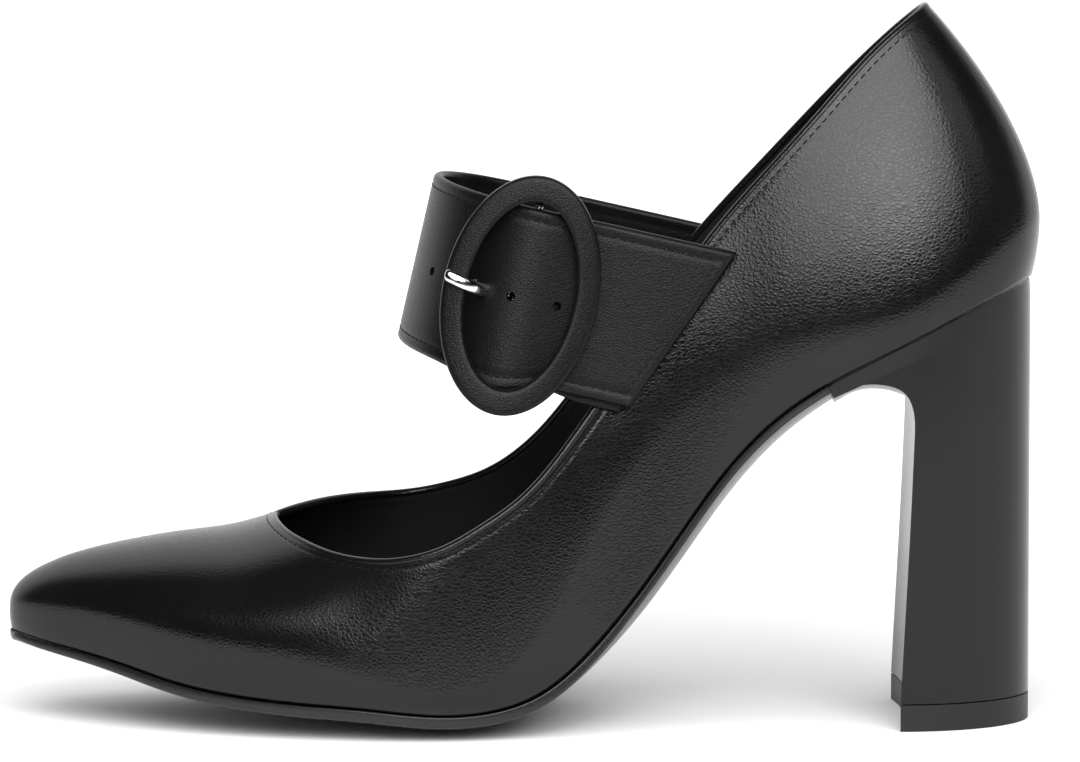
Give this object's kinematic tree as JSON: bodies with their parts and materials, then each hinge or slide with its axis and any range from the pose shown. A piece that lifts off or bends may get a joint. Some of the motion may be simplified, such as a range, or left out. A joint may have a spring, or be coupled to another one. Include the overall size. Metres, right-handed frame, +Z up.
{
  "type": "heeled shoe",
  "caption": "Pointed black leather pump on a tall block heel, with a broad instep strap fastened by a leather-covered oval buckle on its outer side",
  "frame": {"origin": "on the floor under the middle of the shoe's bounding box", "axes": "+X runs from the toe to the heel, +Y to the inner side of the foot, +Z up"},
  "size_m": [0.2344, 0.0763, 0.1628],
  "materials": {
    "grained_leather": "fine grained black nappa, semi-matte",
    "strap_leather": "fine grained black nappa, folded and stitched edges",
    "sole_leather": "smooth black, glossy",
    "lining_leather": "smooth black, matte",
    "heel_cover": "satin black cover",
    "top_piece_rubber": "plain black",
    "polished_steel": "polished"
  },
  "bodies": {
    "root": {"upper": "grained_leather", "outsole": "sole_leather", "insole": "lining_leather", "heel_block": "heel_cover", "heel_top_piece": "top_piece_rubber", "strap": "strap_leather", "buckle_tab": "strap_leather", "buckle_frame": "strap_leather", "buckle_bar": "polished_steel", "buckle_prong": "polished_steel"}
  },
  "joints": []
}
